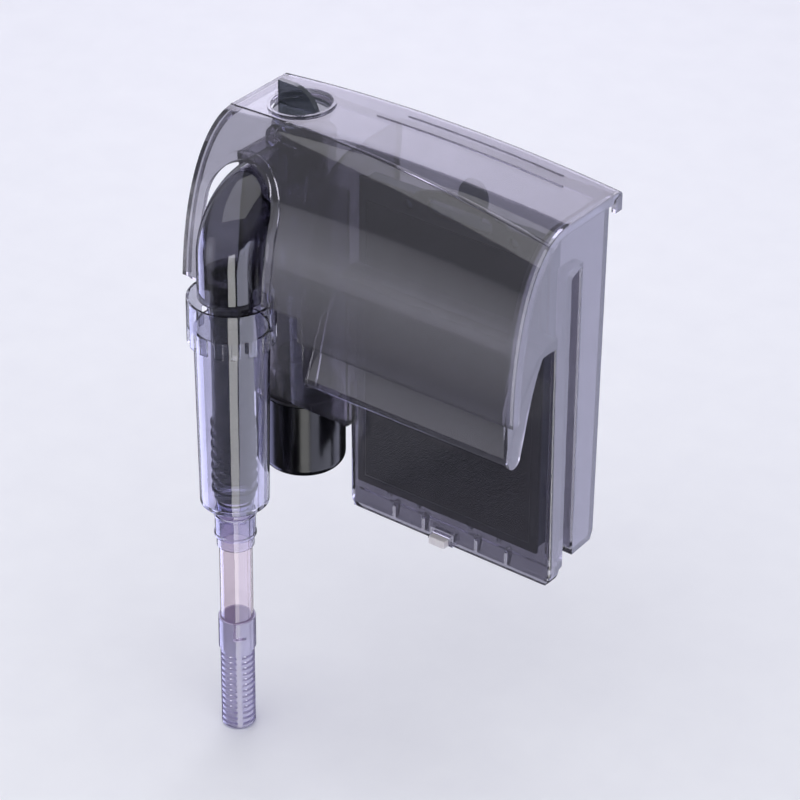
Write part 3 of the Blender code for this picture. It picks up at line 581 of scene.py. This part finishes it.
# ---------------------------------------------------------------- pump
# Polished black ABS can turned into the chamber's floor from below. Its lid carries the blind well for
# the rotor; the stator and its coils sit inside, and the cord's rubber gland is in its back.

# ABS with carbon black, out of a polished mould: deep black with long, clean streaks of lamplight.
gloss_black = opaque("black ABS, polished", "#08080b", "#0d0d12", 0.16, 0.24, 6.0, 0.01, shine=0.22)
CAN_R, CAN_TOP, CAN_LOW, CAN_WALL, CAN_SOFT = 23.5, -99.2, -146.0, 2.0, 6.0
GLAND_R, GLAND_Z = 4.5, -128.0
can = [(0, CAN_LOW)] + arc(CAN_R - CAN_SOFT, CAN_LOW + CAN_SOFT, CAN_SOFT, -90, 0, 12)
can += [
    (CAN_R, CAN_TOP), (CAN_R - CAN_WALL, CAN_TOP), (CAN_R - CAN_WALL, CAN_LOW + CAN_SOFT),
    (CAN_R - CAN_SOFT, CAN_LOW + CAN_WALL), (0, CAN_LOW + CAN_WALL),
]
housing = turned("pump_can", can, PUMP_X, PUMP_Y, 128)
cut(housing, placed(rod(GLAND_R, 0, 30, 0, 0, 32), PUMP_X, PUMP_Y + 10, GLAND_Z, tip=-90))
soften(housing, 0.3)
hand_in(housing, gloss_black, "pump", "gloss_black", "pump_housing")

# Nitrile rubber, compression moulded: a flat grey black with only a dull glow at its edges.
rubber = opaque("nitrile rubber, black", "#17171a", "#1f1f22", 0.55, 0.75, 0.7, 0.04)
gland = taken_from("cord_gland", "gland")
soften(gland, 0.3)
hand_in(gland, rubber, "pump", "rubber", "cord_gland")
paint("well_plate", gloss_black)
paint("impeller_cover", gate_smoke)
paint("impeller", gloss_black)
# Ferrite powder, pressed and fired: stone grey, matt, with a fine sandy grain.
paint("rotor_magnet", opaque("ferrite, sintered", "#303033", "#3b3b3e", 0.5, 0.7, 0.4, 0.02))
# Alumina, fired and centreless ground: ivory white with a tight porcelain shine.
paint("impeller_shaft", opaque("alumina, ground", "#ece9e2", "#f4f2ec", 0.15, 0.25, 0.5, 0.005))
# Silicon steel sheets, punched and stacked: a cool grey metal with a dull sheen. Its grain is as
# wide as one sheet, 0.5 mm.
steel = opaque("silicon steel, punched", "#77787b", "#8b8c90", 0.35, 0.5, 0.5, 0.03, metallic=1.0)
paint("stator_core", steel)
# Copper wire under clear enamel, wound on the coils: warm red brown metal with a varnished shine.
copper = opaque("copper wire, enamelled", "#a85a2c", "#c06d3a", 0.25, 0.4, 0.5, 0.1, metallic=1.0)
for name in ("coil_left", "coil_right"):
    paint(name, copper)
for name in ("lower_bush", "upper_bush", "pump_seal", "nozzle_seal"):
    paint(name, rubber)


# ---------------------------------------------------------------- riser
# Smoky inner pipe of the skimmer: a flange plugs it into the U-pipe's mouth, and rings round its
# lower half centre it in the outer tube.

TUBE_FOOT = -142.6
RISER_R, RISER_BORE, RISER_TOP, RISER_FOOT = 11.6, 10.0, 2.0, TUBE_FOOT + 4.5
RING_COUNT, RING_PITCH, RING_R, FLANGE_R = 7, 7.0, RISER_R + 1.2, PIPE_BORE - 0.3
riser_outline = [(RISER_R, RISER_FOOT)]
for k in range(RING_COUNT):
    low = RISER_FOOT + 4.0 + RING_PITCH * k
    riser_outline += [(RISER_R, low), (RING_R, low + 0.6), (RING_R, low + 2.0), (RISER_R, low + 2.6)]
riser_outline += [
    (RISER_R, RISER_TOP - 5), (FLANGE_R, RISER_TOP - 4), (FLANGE_R, RISER_TOP),
    (RISER_BORE, RISER_TOP), (RISER_BORE, RISER_FOOT),
]
riser = turned("riser", riser_outline, SKIM_X, SKIM_Y)
soften(riser, 0.2)
# SAN with the most dye of all the tubes: a charcoal core that still lets a lamp glow through.
riser_smoke = clear_plastic("smoky SAN, riser", "#53535b", "#5e5e66", 0.04, 0.08)
hand_in(riser, riser_smoke, "filter_body", "smoky_plastic", "riser_pipe")


# ---------------------------------------------------------------- skimmer tube, neck ring and crown
# Clear lilac tube that tapers to a narrow neck. The crown floats in its mouth, and the slots in its
# skirt let only the film on the water in.

# SAN with a trace of violet to hide its yellow, polished: nearly colourless, its walls seen as lilac
# edges and bright upright streaks.
lilac = clear_plastic("clear SAN, lilac tint", "#d9d8ea", "#e3e2f2", 0.02, 0.06)
NECK_R, NECK_BORE, NECK_END = 10.6, 9.6, -171.0
TUBE_R, TUBE_FOOT_R, TUBE_WALL, TUBE_TOP, FOOT_CHAMFER = 20.9, 19.2, 1.5, -30.0, 1.2
tube = turned("outer_tube", [
    (TUBE_FOOT_R, TUBE_FOOT + FOOT_CHAMFER), (TUBE_R, TUBE_TOP), (TUBE_R - TUBE_WALL, TUBE_TOP),
    (TUBE_FOOT_R - TUBE_WALL, TUBE_FOOT + 3.0), (NECK_BORE, TUBE_FOOT + 2.5), (NECK_BORE, NECK_END),
    (NECK_R, NECK_END), (NECK_R, TUBE_FOOT), (TUBE_FOOT_R - FOOT_CHAMFER, TUBE_FOOT),
], SKIM_X, SKIM_Y)
soften(tube, 0.3)
hand_in(tube, lilac, "filter_body", "lilac_plastic", "skimmer_tube")

LOCK_BORE, LOCK_R, LOCK_LIP_R, LOCK_LOW, LOCK_TOP, LOCK_LIP = 10.9, 11.4, 11.9, -164.0, -150.0, 1.5
lock = turned("ring_on_neck", [
    (LOCK_BORE, LOCK_LOW), (LOCK_LIP_R, LOCK_LOW), (LOCK_LIP_R, LOCK_LOW + LOCK_LIP),
    (LOCK_R, LOCK_LOW + LOCK_LIP + 0.5), (LOCK_R, LOCK_TOP - LOCK_LIP - 0.5),
    (LOCK_LIP_R, LOCK_TOP - LOCK_LIP), (LOCK_LIP_R, LOCK_TOP), (LOCK_BORE, LOCK_TOP),
], SKIM_X, SKIM_Y)
soften(lock, 0.15)
hand_in(lock, lilac, "filter_body", "lilac_plastic", "neck_ring")

CROWN_R, CROWN_BORE, CROWN_TOP, CROWN_LOW = 24.4, 22.8, -11.7, -38.6
SLOT_PAIRS, SLOT_HALF, SLOT_HIGH = 8, 2.2, 10.5
crown = turned("floating_crown", [
    (CROWN_R, CROWN_LOW), (CROWN_R, CROWN_TOP), (CROWN_BORE, CROWN_TOP), (CROWN_BORE, CROWN_LOW),
], SKIM_X, SKIM_Y)
for k in range(SLOT_PAIRS):
    saw = slab((-30, -SLOT_HALF, CROWN_LOW - 2), (30, SLOT_HALF, CROWN_LOW + SLOT_HIGH))
    cut(crown, placed(saw, SKIM_X, SKIM_Y, turn=180 * (k + 0.5) / SLOT_PAIRS))
soften(crown, 0.3)
# SAN with a little smoke dye, polished: a cool grey ring with hard bright lines on its edges.
crown_clear = clear_plastic("clear SAN, crown", "#c2c2cf", "#cfcfdb", 0.01, 0.04)
hand_in(crown, crown_clear, "crown", "lilac_plastic", "skimmer_crown")


# ---------------------------------------------------------------- extension tube and strainer
# A length of clear extruded tube pushed into the neck, and a strainer whose collar slips over its
# lower end. The slots keep fish and snails out.

# Acrylic, extruded and cut to length: the clearest piece, with a faint pink cast and soft long streaks.
pink = clear_plastic("acrylic tube, extruded", "#eae0e6", "#f2eaf0", 0.02, 0.05)
LONG_R, LONG_BORE, LONG_TOP, LONG_LOW = 9.3, 8.1, -147.0, -232.0
extension = turned("long_tube", [
    (LONG_R, LONG_LOW), (LONG_R, LONG_TOP), (LONG_BORE, LONG_TOP), (LONG_BORE, LONG_LOW),
], SKIM_X, SKIM_Y)
soften(extension, 0.2)
hand_in(extension, pink, "extension", "pink_clear_plastic", "extension_tube")

COLLAR_TOP, COLLAR_END, COLLAR_BORE, COLLAR_STOP = -219.6, -239.8, 9.6, -232.4
BASKET_R, BASKET_BORE, BASKET_FLOOR, STRAINER_END = 9.7, 8.3, 1.4, -292.8
strainer = turned("slotted_strainer", [
    (NECK_R, COLLAR_END), (NECK_R, COLLAR_TOP), (COLLAR_BORE, COLLAR_TOP), (COLLAR_BORE, COLLAR_STOP),
    (BASKET_BORE, COLLAR_STOP - 0.2), (BASKET_BORE, STRAINER_END + BASKET_FLOOR),
    (0, STRAINER_END + BASKET_FLOOR), (0, STRAINER_END), (BASKET_R - 1.0, STRAINER_END),
    (BASKET_R, STRAINER_END + 1.0), (BASKET_R, COLLAR_END - 0.6),
], SKIM_X, SKIM_Y, 64)
GRILLE_ROWS, GRILLE_LOW, GRILLE_PITCH, GRILLE_GAP, GRILLE_HALF, SAW_REACH = 13, 2.6, 3.8, 1.8, 5.6, 12
for k in range(GRILLE_ROWS):
    low = STRAINER_END + GRILLE_LOW + GRILLE_PITCH * k
    for long, wide in ((SAW_REACH, GRILLE_HALF), (GRILLE_HALF, SAW_REACH)):
        near_corner = (SKIM_X - long, SKIM_Y - wide, low)
        cut(strainer, slab(near_corner, (SKIM_X + long, SKIM_Y + wide, low + GRILLE_GAP)))
# The bayonet's J notch in the collar: a way down from the rim, then a short way round.
NOTCH_TURN, NOTCH_DEEP, NOTCH_OUT = -58, 8.4, 12
down = slab((NOTCH_DEEP, -1, -231), (NOTCH_OUT, 1, COLLAR_TOP + 1))
cut(strainer, placed(down, SKIM_X, SKIM_Y, turn=NOTCH_TURN))
sideways = slab((NOTCH_DEEP, -1, -230.9), (NOTCH_OUT, 6.2, -228.9))
cut(strainer, placed(sideways, SKIM_X, SKIM_Y, turn=NOTCH_TURN))
soften(strainer, 0.2, 1)
# SAN with a lavender grey pigment, straight from an etched mould: cloudy, and softly lit from within.
frosted = clear_plastic("frosted SAN, strainer", "#bdb9cf", "#c9c5da", 0.10, 0.2, haze=0.4)
hand_in(strainer, frosted, "strainer", "lilac_plastic", "strainer")


# ---------------------------------------------------------------- studio
# A pale floor, a soft sky and softboxes that the camera doesn't see.

FLOOR_Z = -293.4 * MM
bpy.ops.object.select_all(action="DESELECT")
bpy.ops.mesh.primitive_plane_add(size=14, location=(0, 0, FLOOR_Z))
floor = bpy.context.object
floor.name = "floor"
# Emulsion paint on a board: an even, cool off-white that takes soft shadows and has no shine.
floor.data.materials.append(opaque("floor, pale paint", "#e9eaee", "#eff0f3", 0.7, 0.8, 30.0, 0.01))
floor.visible_glossy = False

world = bpy.data.worlds.new("studio sky")
scene.world = world
world.use_nodes = True
sky = world.node_tree
sky.nodes["Background"].inputs["Color"].default_value = linear("#eceef6")
upwards = node(sky, "SeparateXYZ", {"Vector": node(sky, "TexCoord").outputs["Generated"]}).outputs["Z"]
bright = node(sky, "MapRange", {
    "Value": upwards, "From Min": -0.1, "From Max": 0.1, "To Min": 0.03, "To Max": 0.42,
})
sky.links.new(bright.outputs["Result"], sky.nodes["Background"].inputs["Strength"])


def softbox(name, towards, distance, wide, high, power, colour="#ffffff", tilt=0, spread=180):
    """A rectangular lamp in a direction from the object's middle, facing it and unseen by the camera."""
    target = Vector((0, 0, -60 * MM))
    lamp = bpy.data.lights.new(name, "AREA")
    lamp.shape, lamp.size, lamp.size_y = "RECTANGLE", wide, high
    lamp.energy, lamp.color, lamp.spread = power, linear(colour)[:3], math.radians(spread)
    made = bpy.data.objects.new(name, lamp)
    scene.collection.objects.link(made)
    direction = Vector(towards).normalized()
    made.location = target + direction * distance
    made.rotation_mode = "QUATERNION"
    made.rotation_quaternion = Quaternion(direction, math.radians(tilt)) @ direction.to_track_quat("Z", "Y")
    made.visible_camera = False


def around(turn, rise):
    """A direction by its turn to the right of the camera's side and its rise, in degrees."""
    heading = math.radians(-90 + CAMERA_TURN + turn)
    lift = math.radians(rise)
    return (math.cos(heading) * math.cos(lift), math.sin(heading) * math.cos(lift), math.sin(lift))


CAMERA_TURN, CAMERA_RISE, CAMERA_ROLL, CAMERA_FAR = 36.78, 30.81, 0.56, 2.003
CAMERA_AIM = Vector((9.4, 6.0, -29.7)) * MM
softbox("key overhead", (0.1, -0.25, 1), 1.6, 2.6, 2.2, 25)
softbox("sky behind the cover", around(180, 31), 1.7, 1.5, 0.7, 10, "#eeeaff")
softbox("strip, tubes near", around(1, -31), 1.2, 0.45, 1.2, 10)
softbox("strip, tubes right", around(50, -31), 1.2, 1.2, 1.2, 20, "#e4e6ff")
softbox("panel, right side", around(106, -25), 1.2, 0.45, 1.4, 6, "#dfe0ff")
softbox("panel, left edge", around(-112, -31), 1.2, 0.60, 1.2, 11, "#c9caff")
softbox("sweep across the cover", around(-70, -10), 1.2, 1.6, 0.95, 0.7, "#e9e9f4", 25, 50)

camera = bpy.data.objects.new("camera", bpy.data.cameras.new("camera"))
scene.collection.objects.link(camera)
scene.camera = camera
back = Vector(around(0, CAMERA_RISE))
camera.location = CAMERA_AIM + back * CAMERA_FAR
camera.rotation_mode = "QUATERNION"
level = (-back).to_track_quat("-Z", "Y")
camera.rotation_quaternion = Quaternion(back, math.radians(CAMERA_ROLL)) @ level
camera.data.sensor_width = 36.0
camera.data.lens = 168.8
camera.data.shift_x, camera.data.shift_y = -0.0125, -0.074

scene.view_settings.view_transform = "Standard"
